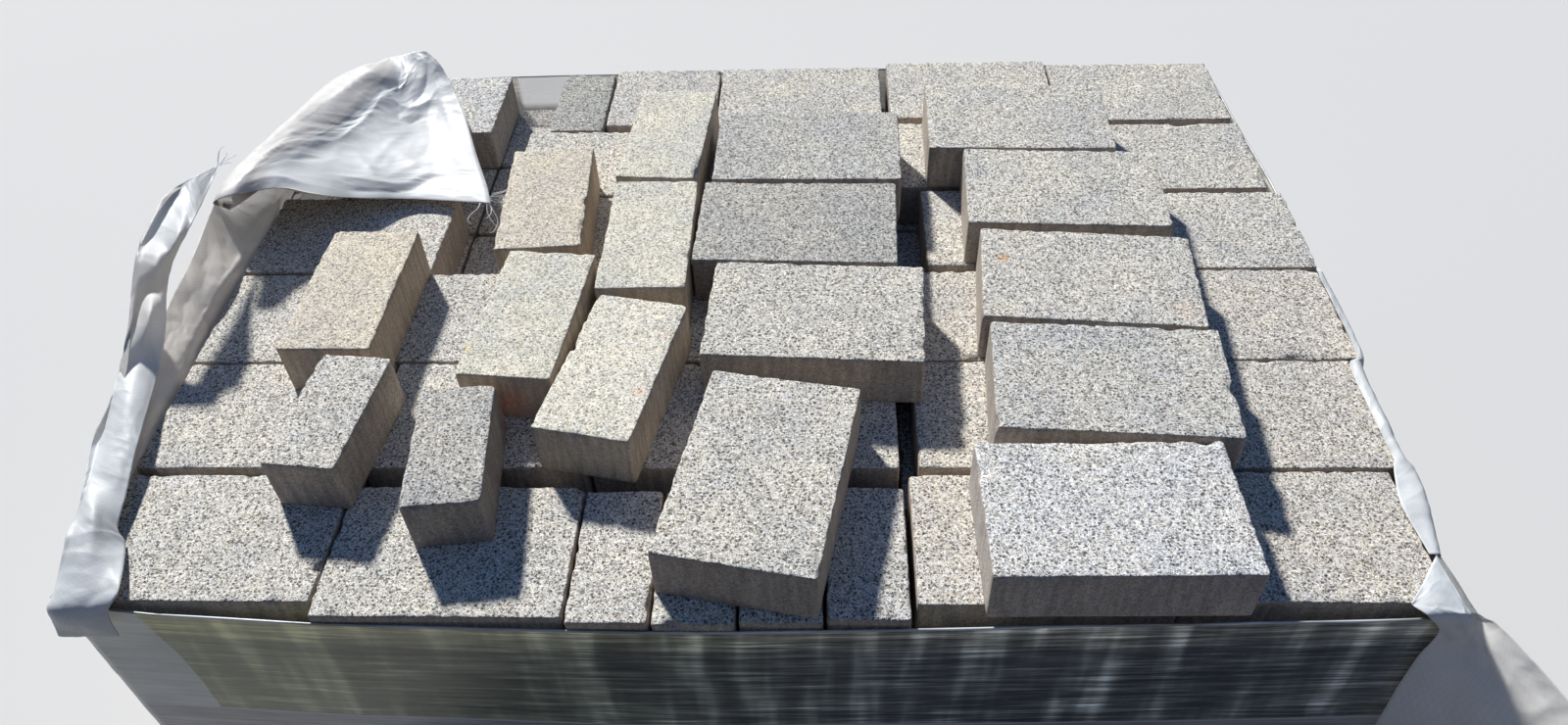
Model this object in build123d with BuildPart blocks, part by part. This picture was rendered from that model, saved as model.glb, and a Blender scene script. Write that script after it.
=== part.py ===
from build123d import *
import math
import os

os.makedirs("parts", exist_ok=True)

# Paving stones of one depth, in three widths that take up one, two or three
# modules of a row with their joint, and a loose oblong kind
stone_height = 60.0
stone_depth = 150.0
module = 77.3
joint = 3.0
large_width = 3 * module - joint
square_width = 2 * module - joint
small_width = module - joint
oblong_width = 100.0
oblong_length = 200.0
corner_radius = 4.0

# Gaps between rows, between the two blocks, and one left by a stone that slid
row_gap = 3.4
lower_row_gap = 6.0
block_gap = 8.0
narrow_gap = 62.0

# The load: full layers of six rows in two clamped blocks, then a part layer
lower_layers = 7
row_count = 6
joint_cut_depth = 14.0
layer_sway = 2.5
load_off_centre_x = -7.5
load_off_centre_y = 4.1

# Timber pallet, 48 by 40 inches, three notched stringers
pallet_length = 1219.0
pallet_width = 1016.0
board_thickness = 16.0
stringer_width = 38.0
stringer_height = 89.0
lead_board_width = 140.0
board_width = 89.0
deck_boards = 7
notch_length = 229.0
notch_depth = 38.0
notch_from_end = 152.0
notch_radius = 12.0

# Stretch film and the white cover sheet, each as thick as its layers lie
film_thickness = 1.2
film_clearance = 0.4
film_below_top = 10.0
film_above_deck = 2.0
cover_thickness = 2.0
cover_clearance = 0.4

# What follows from the sizes above
deck_top = stringer_height + 2 * board_thickness
full_top = deck_top + (lower_layers + 1) * stone_height
left_columns = (large_width,) * 2 + (small_width,) * 4
right_columns = (large_width,) * 2


def block_width(columns):
    return sum(columns) + (len(columns) - 1) * joint


load_width = block_width(left_columns) + block_gap + block_width(right_columns)
load_depth = row_count * stone_depth + (row_count - 1) * row_gap
load_left = load_off_centre_x - load_width / 2
load_front = load_off_centre_y - load_depth / 2
right_block_left = load_left + block_width(left_columns) + block_gap


def write(part, name):
    part.label = name
    export_step(part, f"parts/{name}.step")


# Timber pallet: deck boards, the end ones wider
deck_pitch = (pallet_length - lead_board_width) / (deck_boards - 1)
lead_board_middle = (pallet_length - lead_board_width) / 2
with BuildPart() as pallet_top_boards:
    with BuildSketch(Plane.XY.offset(deck_top - board_thickness)):
        with Locations((-lead_board_middle, 0), (lead_board_middle, 0)):
            Rectangle(lead_board_width, pallet_width)
        with GridLocations(deck_pitch, 0, deck_boards - 2, 1):
            Rectangle(board_width, pallet_width)
    extrude(amount=board_thickness)
write(pallet_top_boards.part, "pallet_top_boards")

# Stringers on edge, notched from below for forks that come from the long side
stringer_pitch = (pallet_width - stringer_width) / 2
notch_middle = pallet_length / 2 - notch_from_end - notch_length / 2
for stringer_name, place in (("front", -1), ("middle", 0), ("back", 1)):
    front_face = Plane.XZ.offset(-place * stringer_pitch - stringer_width / 2)
    with BuildPart() as stringer:
        with BuildSketch(front_face):
            with Locations((0, board_thickness + stringer_height / 2)):
                Rectangle(pallet_length, stringer_height)
            with Locations((-notch_middle, board_thickness), (notch_middle, board_thickness)):
                Rectangle(notch_length, 2 * notch_depth, mode=Mode.SUBTRACT)
        extrude(amount=stringer_width)
        notch_corners = stringer.edges().filter_by(Axis.Y).filter_by(
            lambda edge: abs(edge.center().Z - board_thickness - notch_depth) < 0.01
        )
        fillet(notch_corners, notch_radius)
    write(stringer.part, f"pallet_stringer_{stringer_name}")

# Bottom boards: one under each end and one under the middle
with BuildPart() as pallet_bottom_boards:
    with BuildSketch():
        with GridLocations(lead_board_middle, 0, 3, 1):
            Rectangle(lead_board_width, pallet_width)
    extrude(amount=board_thickness)
write(pallet_bottom_boards.part, "pallet_bottom_boards")

# Every stone and block of the full layers leaves its outline here for the film
outlines = []


# Lower layers: each block is one solid, its joints cut into the faces that show.
# Each layer lies a little to one side of the one below.
lower_pitch = stone_depth + lower_row_gap
block_depth = row_count * stone_depth + (row_count - 1) * lower_row_gap
lower_front = load_off_centre_y - block_depth / 2


def joint_places(columns):
    places = []
    reach = -joint / 2
    for width in columns[:-1]:
        reach += width + joint
        places.append(reach)
    return places


for layer in range(1, lower_layers + 1):
    layer_floor = deck_top + (layer - 1) * stone_height
    sway = layer_sway if layer % 2 else -layer_sway
    with BuildPart() as stone_layer:
        for left, columns in (
            (load_left + sway, left_columns),
            (right_block_left - sway, right_columns),
        ):
            front = lower_front - sway / 2
            width = block_width(columns)
            middle = (left + width / 2, front + block_depth / 2)
            outlines.append((*middle, width, block_depth))
            with BuildSketch(Plane.XY.offset(layer_floor)):
                with Locations(middle):
                    Rectangle(width, block_depth)
            extrude(amount=stone_height)
            seams_x = [left + place for place in joint_places(columns)]
            seams_y = [front + row * lower_pitch - lower_row_gap / 2 for row in range(1, row_count)]
            # Notches down the four sides
            with BuildSketch(Plane.XY.offset(layer_floor)):
                for seam in seams_x:
                    with Locations((seam, front), (seam, front + block_depth)):
                        Rectangle(joint, 2 * joint_cut_depth)
                for seam in seams_y:
                    with Locations((left, seam), (left + width, seam)):
                        Rectangle(2 * joint_cut_depth, lower_row_gap)
            extrude(amount=stone_height, mode=Mode.SUBTRACT)
            # Grooves over the top face, where holes in the layer above show it
            if layer == lower_layers:
                with BuildSketch(Plane.XY.offset(layer_floor + stone_height)):
                    with Locations(*[(seam, middle[1]) for seam in seams_x]):
                        Rectangle(joint, block_depth)
                    with Locations(*[(middle[0], seam) for seam in seams_y]):
                        Rectangle(width, lower_row_gap)
                extrude(amount=-joint_cut_depth, mode=Mode.SUBTRACT)
    write(stone_layer.part, f"stone_layer_{layer}")


# Top full layer: one file for each row of each block. The slip is how far a row
# lies right of and behind its true place, and a set-back is that for one stone.
# A stone that is missing leaves its width open.
def row_front(number):
    return load_front + (number - 1) * (stone_depth + row_gap)


def lay_row(block, number, widths, slip, missing=(), set_backs=()):
    left = (load_left if block == "left" else right_block_left) + slip[0]
    front = row_front(number) + slip[1]
    set_back = dict(set_backs)
    middles = []
    reach = left
    for place, width in enumerate(widths):
        if place not in missing:
            middles.append((reach + width / 2, front + set_back.get(place, 0.0) + stone_depth / 2, width))
        reach += width + joint
    with BuildPart() as stone_row:
        with BuildSketch(Plane.XY.offset(full_top - stone_height)):
            for x, y, width in middles:
                outlines.append((x, y, width, stone_depth))
                with Locations((x, y)):
                    RectangleRounded(width, stone_depth, corner_radius)
        extrude(amount=stone_height)
    write(stone_row.part, f"top_{block}_row_{number}")
    return [(x - width / 2, x + width / 2, y - stone_depth / 2) for x, y, width in middles]


lay_row("left", 1, left_columns, (2, -20.5), set_backs=((0, 15), (2, -5), (3, -6), (4, -3)))
lay_row("left", 2, (large_width,) * 3 + (small_width,), (0, 0))
lay_row("left", 3, (square_width, large_width, large_width, square_width), (-1, 0))
left_row_4 = lay_row(
    "left", 4, (large_width, small_width, large_width, large_width), (-2, 0),
    missing=(1,), set_backs=((0, 2),),
)
lay_row(
    "left", 5, (large_width, small_width, large_width, large_width), (-18, 0),
    missing=(0, 1),
)
left_row_6 = lay_row(
    "left", 6, (large_width, small_width, small_width, square_width, large_width), (7, -0.5),
    missing=(1,), set_backs=((0, -2), (3, 11), (4, 12)),
)
right_row_1 = lay_row("right", 1, (large_width,) * 2, (0, -4.5), set_backs=((1, 5),))
lay_row("right", 2, (large_width,) * 2, (11, 1))
right_row_3 = lay_row("right", 3, (large_width,) * 2, (24, -0.5))
right_row_4 = lay_row(
    "right", 4, (square_width, narrow_gap, large_width), (40, -1),
    missing=(1,), set_backs=((0, 8),),
)
lay_row("right", 5, (large_width,) * 2, (15, 3), set_backs=((0, 9),))
lay_row("right", 6, (large_width,) * 2, (10, 10.5), set_backs=((0, 12),))


# Part layer: loose stones in five columns, from the right to the left
def lay_loose(name, width, length, x, y, turn):
    with BuildPart() as stone:
        with BuildSketch(Plane.XY.offset(full_top)):
            with Locations(Location((x, y, 0), (0, 0, turn))):
                RectangleRounded(width, length, corner_radius)
        extrude(amount=stone_height)
    write(stone.part, f"loose_{name}")


def row_middle(number):
    return row_front(number) + stone_depth / 2


# Large stones over the right block: row, slip to the right, slip back, turn
column_h = right_block_left + 0.75 * large_width
for number, (row, across, back, turn) in enumerate(
    (
        (1, 0, -15.5, 0.8),
        (2, 27, -8, -3.8),
        (3, 31, -6.5, -4.9),
        (4, 29, 5, -2.8),
        (5, -7, 7, -1.4),
    ),
    start=1,
):
    lay_loose(
        f"large_stone_{number}", large_width, stone_depth,
        column_h + across, row_middle(row) + back, turn,
    )

# Large stones that bridge the gap between the blocks, and one laid endways
column_m = right_block_left - large_width / 2
for number, (row, across, back, turn) in enumerate(
    ((3, 23.5, -59.5, -3.0), (4, 1.5, -58, -1.8), (5, 12.5, -55, -0.8)), start=6
):
    lay_loose(
        f"large_stone_{number}", large_width, stone_depth,
        column_m + across, row_middle(row) + back, turn,
    )
endways_y = row_middle(3) - 59.5 - (stone_depth + large_width) / 2 - 27.5
lay_loose("large_stone_9", stone_depth, large_width, column_m - 26, endways_y, -10.6)

# Oblong stones beside them, three in a line and two in a line
column_a = column_m - (large_width + oblong_width) / 2 - 3.5
middle_y = row_middle(4) - 77
lay_loose("oblong_stone_1", oblong_width, oblong_length, column_a + 2.5, middle_y + oblong_length + 7, -3.5)
lay_loose("oblong_stone_2", oblong_width, oblong_length, column_a, middle_y, 0.3)
lay_loose("oblong_stone_5", oblong_width, oblong_length, column_a - 12.5, middle_y - oblong_length - 17, -11.4)

column_b = column_a - oblong_width - 20
second_y = row_middle(3) - 60
lay_loose("oblong_stone_3", oblong_width, oblong_length, column_b - 11.5, second_y + oblong_length + 8, 3.9)
lay_loose("oblong_stone_4", oblong_width, oblong_length, column_b + 6.5, second_y, -5.1)
stone_step = (oblong_length + stone_depth) / 2
lay_loose("small_stone_2", small_width, stone_depth, column_b - 34.5, second_y - stone_step - 13.5, 6.6)

column_c = column_b - oblong_width - 98.5
third_y = row_middle(3) - 18.5
lay_loose("oblong_stone_6", oblong_width, oblong_length, column_c, third_y, -0.3)
lay_loose("small_stone_1", small_width, stone_depth, column_c + 33, third_y - stone_step - 10, -5.4)

# Stretch film: a sleeve drawn straight between the stones that stand out most
film_bottom = deck_top + film_above_deck
film_top = full_top - film_below_top
with BuildSketch(Plane.XY.offset(film_bottom)) as load_outline:
    for x, y, width, depth in outlines:
        with Locations((x, y)):
            Rectangle(width, depth)
    make_hull(mode=Mode.REPLACE)
    offset(amount=film_clearance, kind=Kind.ARC)
with BuildPart() as film_wrap:
    with BuildSketch(Plane.XY.offset(film_bottom)) as film_section:
        add(load_outline.sketch)
        offset(amount=film_thickness, kind=Kind.ARC)
        add(load_outline.sketch, mode=Mode.SUBTRACT)
    extrude(amount=film_top - film_bottom)
write(film_wrap.part, "film_wrap")

# Cover sheet: the flap turned in over the back left corner. It rests on the right
# edges of two stones and rises from there to its fold, over the load's left edge.
flap_rise = 17.0
_, fourth_right, fourth_front = left_row_4[0]
_, sixth_right, sixth_front = left_row_6[0]
hinge_start = Vector(fourth_right + 8, fourth_front + 0.7 * stone_depth, full_top + cover_clearance)
hinge_end = Vector(sixth_right - 33, sixth_front, full_top + cover_clearance)
hinge = (hinge_end - hinge_start).normalized()
level_left = Vector(0, 0, 1).cross(hinge)
rise = math.radians(flap_rise)
rising_left = level_left * math.cos(rise) + Vector(0, 0, math.sin(rise))
flap_plane = Plane(origin=hinge_start, x_dir=hinge, z_dir=hinge.cross(rising_left))
flap_outline = (
    (12, -43),
    (200, 0),
    (297, 33),
    (357, 65),
    (348, 103),
    (317, 167),
    (224, 215),
    (76, 239),
    (-13, 254),
    (31, 214),
    (24, 89),
    (-5, -6),
)
with BuildPart() as cover_flap:
    with BuildSketch(flap_plane):
        with BuildLine():
            Polyline(*flap_outline, close=True)
        make_face()
    extrude(amount=cover_thickness)
write(cover_flap.part, "cover_flap")

# Cover sheet: the torn strip that stands along the left edge and lies over the
# front corner. Its outline is (back from the load's front, up from the full layer).
strip_face = film_wrap.part.bounding_box().min.X - cover_clearance
strip_top = cover_clearance + cover_thickness
strip_outline = (
    (0, -160),
    (885, -160),
    (885, -20),
    (725, 45),
    (569, 97),
    (447, 126),
    (375, 122),
    (293, 77),
    (164, 27),
    (110, strip_top),
    (0, strip_top),
)
corner_patch = ((0, 0), (67, 0), (40, 79), (8, 125), (0, 125))
with BuildPart() as cover_left_strip:
    with BuildSketch(Plane.YZ.offset(strip_face - cover_thickness)):
        with BuildLine():
            Polyline(*[(load_front + back, full_top + up) for back, up in strip_outline], close=True)
        make_face()
    extrude(amount=cover_thickness)
    with BuildSketch(Plane.XY.offset(full_top + cover_clearance)):
        with BuildLine():
            Polyline(
                *[(strip_face - cover_thickness + across, load_front + back) for across, back in corner_patch],
                close=True,
            )
        make_face()
    extrude(amount=cover_thickness)
write(cover_left_strip.part, "cover_left_strip")

# Cover sheet: the skirt that flares out round the front right corner, from a line
# on the film at the top to a line at its foot, in creased triangular panels
skirt_drop = 235.0
skirt_return = 20.0
skirt_seat = film_clearance + film_thickness + cover_clearance
skirt_above_top = 1.0
flare = ((4, -20), (122, -61), (60, -101), (6, -42))
corner_x = right_row_1[-1][1] + layer_sway
corner_y = lower_front - layer_sway / 2
top_line = (
    (corner_x - skirt_return, corner_y - skirt_seat - 1),
    (corner_x + skirt_seat, corner_y - skirt_seat),
    (right_row_3[-1][1] + skirt_seat, right_row_3[-1][2]),
    (right_row_4[-1][1] + skirt_seat, right_row_4[-1][2]),
)
heads = [Vector(x, y, full_top + skirt_above_top) for x, y in top_line]
feet = [Vector(x + out_x, y + out_y, full_top - skirt_drop) for (x, y), (out_x, out_y) in zip(top_line, flare)]
panels = []
for run in range(len(heads) - 1):
    panels.append((heads[run], heads[run + 1], feet[run]))
    panels.append((feet[run], feet[run + 1], heads[run + 1]))
with BuildPart() as cover_right_skirt:
    for first, second, third in panels:
        panel_plane = Plane(origin=first, x_dir=second - first, z_dir=(second - first).cross(third - first))
        with BuildSketch(panel_plane):
            with BuildLine():
                corners = [panel_plane.to_local_coords(point) for point in (first, second, third)]
                Polyline(*corners, close=True)
            make_face()
        extrude(amount=cover_thickness, dir=(1, -1, 0))
write(cover_right_skirt.part, "cover_right_skirt")
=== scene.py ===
"""A pallet of paving stones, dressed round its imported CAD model.
Lengths are metres in the frame of the CAD: X to the right, Y to the back, Z up."""
import math

import bmesh
import bpy
import numpy as np
from mathutils import Matrix, Vector


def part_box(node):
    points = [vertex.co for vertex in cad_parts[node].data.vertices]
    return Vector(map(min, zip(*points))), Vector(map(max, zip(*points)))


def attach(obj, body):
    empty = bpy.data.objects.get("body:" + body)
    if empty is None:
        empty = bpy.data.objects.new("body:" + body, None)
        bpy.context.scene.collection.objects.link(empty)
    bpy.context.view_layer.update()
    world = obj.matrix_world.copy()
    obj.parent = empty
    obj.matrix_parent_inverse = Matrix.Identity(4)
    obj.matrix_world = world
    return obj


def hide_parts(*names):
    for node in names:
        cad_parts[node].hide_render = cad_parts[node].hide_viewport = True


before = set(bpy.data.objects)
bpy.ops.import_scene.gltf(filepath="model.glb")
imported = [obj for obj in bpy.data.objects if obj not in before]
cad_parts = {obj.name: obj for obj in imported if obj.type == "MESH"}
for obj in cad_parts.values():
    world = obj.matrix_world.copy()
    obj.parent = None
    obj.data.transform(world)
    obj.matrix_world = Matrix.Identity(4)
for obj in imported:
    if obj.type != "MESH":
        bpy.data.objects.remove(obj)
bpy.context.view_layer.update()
scene = bpy.context.scene

# Pallet: rough sawn softwood, turned grey outdoors. Seven boards lie over three stringers
# that are notched for forks, and three more under them, with nails at each crossing.
LEAST_GAP = 0.0005
SAWN_ARRIS = 0.0025
SAW_WANDER = 0.0005
STRINGER_ARRIS = 0.002
SOFTWOOD = (0.350, 0.292, 0.215)
BOARD_STEP = 0.045
NAIL_RINGS = ((0.0042, -0.0012), (0.0045, 0.0), (0.0043, 0.0005), (0.0032, 0.0008))
NAIL_SUNK = 0.0006
WIDE_BOARD = 0.12
NAILS_ACROSS_WIDE, NAILS_ACROSS_NARROW = (0.16, 0.5, 0.84), (0.24, 0.76)


def node_triangles(name):
    """The corner points of a CAD node's triangles, as an array (triangle, corner, axis)."""
    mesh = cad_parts[name].data
    points = np.empty(len(mesh.vertices) * 3)
    mesh.vertices.foreach_get("co", points)
    corners = np.empty(len(mesh.loops), np.int64)
    mesh.loops.foreach_get("vertex_index", corners)
    return points.reshape(-1, 3)[corners.reshape(-1, 3)]


def solids_in_row(name):
    """Lowest and highest corner of each solid of a node whose solids stand side by side:
    the spans of its triangles along X, joined wherever one runs into the next."""
    triangles = node_triangles(name)
    triangles = triangles[np.argsort(triangles[:, :, 0].min(1))]
    starts = triangles[:, :, 0].min(1)
    ends = np.maximum.accumulate(triangles[:, :, 0].max(1))
    breaks = np.flatnonzero(starts[1:] > ends[:-1] + LEAST_GAP) + 1
    solids = np.split(triangles, breaks)
    return [(s.reshape(-1, 3).min(0), s.reshape(-1, 3).max(0)) for s in solids]


def random_in(cells, seed):
    """One repeatable number from 0 to 1 for each row of three whole numbers."""
    mixed = cells[..., 0] * 73856093 ^ cells[..., 1] * 19349663 ^ cells[..., 2] * 83492791
    mixed = (mixed ^ seed * 26544357 ^ (mixed >> 13)) * 1274126177
    return ((mixed ^ (mixed >> 16)) & 0xFFFFFF) / 0xFFFFFF


def smooth_noise(points, cell, seed):
    """Values from -1 to 1 that change smoothly over one cell: random numbers at the
    corners of a cubic lattice, blended by an S-curve along each axis."""
    place = points / cell
    corner = np.floor(place).astype(np.int64)
    share = place - corner
    share = share * share * (3 - 2 * share)
    total = np.zeros(len(points))
    for step in np.ndindex(2, 2, 2):
        weight = np.where(step, share, 1 - share).prod(1)
        total += weight * random_in(corner + np.array(step), seed)
    return 2 * total - 1


def lengths_along(line):
    """How far along a line in plan each of its points lies."""
    return np.concatenate([[0], np.cumsum(np.linalg.norm(np.diff(line, axis=0), axis=1))])


def points_at(places, lengths, line):
    """The points of a line in plan at some distances along it."""
    return np.stack([np.interp(places, lengths, line[:, axis]) for axis in (0, 1)], -1)


def cell_corners(grid):
    """The four corners of each cell of a grid, in turn."""
    return np.stack([grid[:-1, :-1], grid[1:, :-1], grid[1:, 1:], grid[:-1, 1:]], 2)


def places_across(half, near_edge, step):
    """Places from -half to half: the given ones near each edge, then equal steps."""
    inner = half - near_edge[-1]
    middle = np.linspace(-inner, inner, max(2, round(2 * inner / step) + 1))
    outer = half - near_edge[:-1]
    return np.concatenate([-outer, middle, outer[::-1]])


def swept_shell(rings):
    """A closed shell through equal rings of points (ring, point, axis), each joined to the
    next by quads and the first and last left as flat ends."""
    index = np.arange(rings.shape[0] * rings.shape[1]).reshape(rings.shape[:2])
    after = np.roll(index, -1, axis=1)
    quads = np.stack([index[:-1], index[1:], after[1:], after[:-1]], -1).reshape(-1, 4)
    return rings.reshape(-1, 3), quads, [index[0], index[-1][::-1]]


def sawn_board(low, high, seed):
    """A board along Y: a rectangle in X and Z whose corners are quarter rounds, carried
    from end to end. Smooth noise draws each point up to two saw wanders inwards."""
    half, middle = (high - low) / 2, (high + low) / 2
    core = np.array([(1, 1), (-1, 1), (-1, -1), (1, -1)]) * (half[[0, 2]] - SAWN_ARRIS)
    angles = np.radians([[0, 30, 60, 90]]) + np.radians([[0], [90], [180], [270]])
    corners = core[:, None] + SAWN_ARRIS * np.stack([np.cos(angles), np.sin(angles)], -1)
    line = np.concatenate([corners.reshape(-1, 2), corners[0, :1]])
    lengths = lengths_along(line)
    places = np.union1d(lengths[:-1], np.linspace(0, lengths[-1], 24, endpoint=False))
    outline = points_at(places, lengths, line)
    reach = half[[0, 2]] - SAWN_ARRIS
    out = (outline - np.clip(outline, -reach, reach)) / SAWN_ARRIS
    along = places_across(half[1], SAWN_ARRIS * np.array([0, 0.3, 1.0]), BOARD_STEP)
    rise = np.maximum(SAWN_ARRIS - (half[1] - np.abs(along)), 0)
    inset = (SAWN_ARRIS - np.sqrt(SAWN_ARRIS**2 - rise**2))[:, None]
    grid = np.empty((len(along), len(outline), 3))
    grid[..., 0], grid[..., 1], grid[..., 2] = outline[:, 0], along[:, None], outline[:, 1]
    grid += middle
    rough = smooth_noise(grid.reshape(-1, 3), 0.06, seed).reshape(grid.shape[:2])
    drawn = inset + SAW_WANDER * (1 + rough)
    grid[..., 0] -= drawn * out[:, 0]
    grid[..., 2] -= drawn * out[:, 1]
    return swept_shell(grid)


def nail_head(x, y, z, up):
    """A flat head with a rounded edge: ten-sided rings of some radius and height, standing
    up or hanging down from a board's face."""
    angles = np.linspace(0, 2 * math.pi, 11)[:-1] * -up
    rings = np.empty((len(NAIL_RINGS), len(angles), 3))
    for ring, (radius, height) in zip(rings, NAIL_RINGS):
        ring[:, 0], ring[:, 1] = x + radius * np.cos(angles), y + radius * np.sin(angles)
        ring[:, 2] = z + up * height
    return swept_shell(rings)


def keep_tone(mesh, colours):
    """Keeps a colour for each point of a mesh, for its finish to read."""
    tone = mesh.attributes.new("tone", "FLOAT_COLOR", "POINT")
    rows = np.insert(colours, 3, 1.0, axis=1)
    tone.data.foreach_set("color", rows.astype(np.float32).ravel())


def join_shells(name, shells, tones, finishes=None):
    """One mesh of several closed shells of points, quads and flat ends, smooth but for the
    ends. Each shell's own colour is kept in the attribute "tone", and finishes are the
    numbers of their materials."""
    starts = np.cumsum([0] + [len(points) for points, _, _ in shells[:-1]])
    points = np.concatenate([points for points, _, _ in shells])
    quads = np.concatenate([quads + start for (_, quads, _), start in zip(shells, starts)])
    ends = [end + start for (_, _, ends), start in zip(shells, starts) for end in ends]
    sizes = np.concatenate([np.full(len(quads), 4), [len(end) for end in ends]]).astype(np.int32)
    corners = np.concatenate([quads.ravel()] + ends).astype(np.int32)
    mesh = bpy.data.meshes.new(name)
    mesh.vertices.add(len(points))
    mesh.vertices.foreach_set("co", points.astype(np.float32).ravel())
    mesh.loops.add(len(corners))
    mesh.loops.foreach_set("vertex_index", corners)
    mesh.polygons.add(len(sizes))
    mesh.polygons.foreach_set("loop_start", np.cumsum(sizes, dtype=np.int32) - sizes)
    mesh.polygons.foreach_set("use_smooth", np.arange(len(sizes)) < len(quads))
    if finishes:
        faces = np.concatenate([
            np.repeat(finishes, [len(shell[1]) for shell in shells]),
            np.repeat(finishes, [len(shell[2]) for shell in shells]),
        ])
        mesh.polygons.foreach_set("material_index", faces.astype(np.int32))
    mesh.update(calc_edges=True)
    rows = [np.broadcast_to(colour, shell[0].shape) for shell, colour in zip(shells, tones)]
    keep_tone(mesh, np.concatenate(rows))
    return mesh


def place_piece(name, mesh, material, slot, *stands_for):
    """Puts a finished mesh in the scene on the only body, in place of its CAD nodes."""
    piece = bpy.data.objects.new(name, mesh)
    scene.collection.objects.link(piece)
    mesh.materials.append(material)
    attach(piece, "root")
    if stands_for:
        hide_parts(*stands_for)
    return piece


class Nodes:
    """The nodes of a material, or of the world. Their inputs are values or sockets, and
    each maker hands over the socket that the others take."""

    def __init__(self, name, owner=None):
        self.owner = owner or bpy.data.materials.new(name)
        self.owner.use_nodes = True
        self.tree = self.owner.node_tree

    def join(self, made, inputs):
        for key, value in inputs.items():
            if isinstance(value, bpy.types.NodeSocket):
                self.tree.links.new(value, made.inputs[key])
            else:
                made.inputs[key].default_value = value
        return made

    def add(self, kind, inputs=(), **settings):
        made = self.tree.nodes.new("ShaderNode" + kind)
        for setting, value in settings.items():
            setattr(made, setting, value)
        return self.join(made, dict(inputs))

    def shade(self, **inputs):
        """Sets the inputs of the surface's shader, and hands over the material."""
        shader = self.tree.nodes["Principled BSDF"]
        self.join(shader, {key.replace("_", " "): value for key, value in inputs.items()})
        return self.owner

    def place(self, kind="Object"):
        return self.add("TexCoord").outputs[kind]

    def facing(self, axis):
        """One axis of the way that the surface faces."""
        way = self.add("NewGeometry").outputs["Normal"]
        return self.add("SeparateXYZ", {"Vector": way}).outputs[axis]

    def kept(self, name, kind="Fac"):
        """What the mesh keeps for its points under a name."""
        return self.add("Attribute", attribute_name=name).outputs[kind]

    def stretched(self, place, scales):
        return self.add("Mapping", {"Vector": place, "Scale": scales}).outputs[0]

    def noise(self, place, scale=1.0, detail=2.0, kind="Fac"):
        inputs = {"Vector": place, "Scale": scale, "Detail": detail}
        return self.add("TexNoise", inputs).outputs[kind]

    def maths(self, operation, *values):
        return self.add("Math", dict(enumerate(values)), operation=operation).outputs[0]

    def scaled(self, value, to_low=0.0, to_high=1.0, low=0.0, high=1.0):
        """A value between low and high, moved to between two others and held there."""
        names = ("Value", "From Min", "From Max", "To Min", "To Max")
        values = (value, low, high, to_low, to_high)
        return self.add("MapRange", dict(zip(names, values))).outputs[0]

    def ramp(self, factor, *stops):
        """A grey or a colour for each place of a factor, blended between the stops."""
        made = self.add("ValToRGB", {"Fac": factor})
        elements = made.color_ramp.elements
        elements.remove(elements[1])
        for number, (place, value) in enumerate(stops):
            stop = elements[0] if number == 0 else elements.new(place)
            stop.position = place
            stop.color = (*value, 1) if isinstance(value, tuple) else (value, value, value, 1)
        return made.outputs["Color"]

    def times(self, first, second, share=1.0):
        settings = {"data_type": "RGBA", "blend_type": "MULTIPLY"}
        return self.add("Mix", {0: share, 6: first, 7: second}, **settings).outputs[2]

    def blend(self, share, first, second, way="MIX"):
        """The second colour over the first, by a share."""
        first, second = ((*c, 1) if isinstance(c, tuple) else c for c in (first, second))
        inputs = {"Fac": share, "Color1": first, "Color2": second}
        return self.add("MixRGB", inputs, blend_type=way).outputs[0]

    def bump(self, height, strength, distance, **under):
        inputs = {"Height": height, "Strength": strength, "Distance": distance, **under}
        return self.add("Bump", inputs).outputs["Normal"]


def softwood_finish(name, along):
    """Weathered softwood with its grain along one axis: fine dark lines, broad bands, knots
    and grey patches, and growth rings on the faces that cross the grain."""
    n = Nodes(name)
    place = n.place()

    def drawn_out(fine, coarse):
        return n.stretched(place, [coarse if axis == along else fine for axis in range(3)])

    lines = n.noise(drawn_out(380.0, 9.0), detail=4.0)
    bands = n.noise(drawn_out(55.0, 2.2), detail=3.0)
    knots = n.add("TexVoronoi", {"Vector": drawn_out(8.5, 3.4), "Scale": 1.0}).outputs["Distance"]
    weather = n.noise(place, 7.0, 5.0)
    grain = n.times(
        n.ramp(lines, (0.32, 0.55), (0.5, 0.95), (0.7, 1.18)),
        n.ramp(bands, (0.3, (0.72, 0.68, 0.62)), (0.6, (1.08, 1.06, 1.02))),
    )
    wood = n.times(n.kept("tone", "Color"), grain)
    wood = n.blend(n.ramp(knots, (0.05, 1.0), (0.1, 0.0)), wood, (0.085, 0.052, 0.032))
    wood = n.blend(n.ramp(weather, (0.42, 0.0), (0.68, 0.75)), wood, (0.235, 0.225, 0.205))
    rings = n.add(
        "TexWave", {"Vector": place, "Scale": 60.0, "Distortion": 5.0, "Detail": 2.0},
        wave_type="RINGS", rings_direction="XYZ"[along],
    ).outputs["Fac"]
    ends = n.times(
        n.ramp(rings, (0.2, (0.10, 0.08, 0.055)), (0.8, (0.27, 0.225, 0.165))),
        n.ramp(weather, (0.3, 0.7), (0.7, 1.2)),
    )
    cut_across = n.ramp(n.maths("ABSOLUTE", n.facing("XYZ"[along])), (0.6, 0.0), (0.8, 1.0))
    colour = n.blend(cut_across, wood, ends)
    return n.shade(Base_Color=colour, Roughness=0.85, Normal=n.bump(lines, 0.6, 0.0007))


board_wood = softwood_finish("board_softwood", 1)
stringer_wood = softwood_finish("stringer_softwood", 0)
n = Nodes("rusted_nail")
rust = n.ramp(n.noise(n.place(), 700.0, 3.0), (0.4, (0.10, 0.075, 0.06)), (0.62, (0.22, 0.10, 0.05)))
nail_steel = n.shade(Base_Color=rust, Metallic=0.6, Roughness=0.6)

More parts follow.
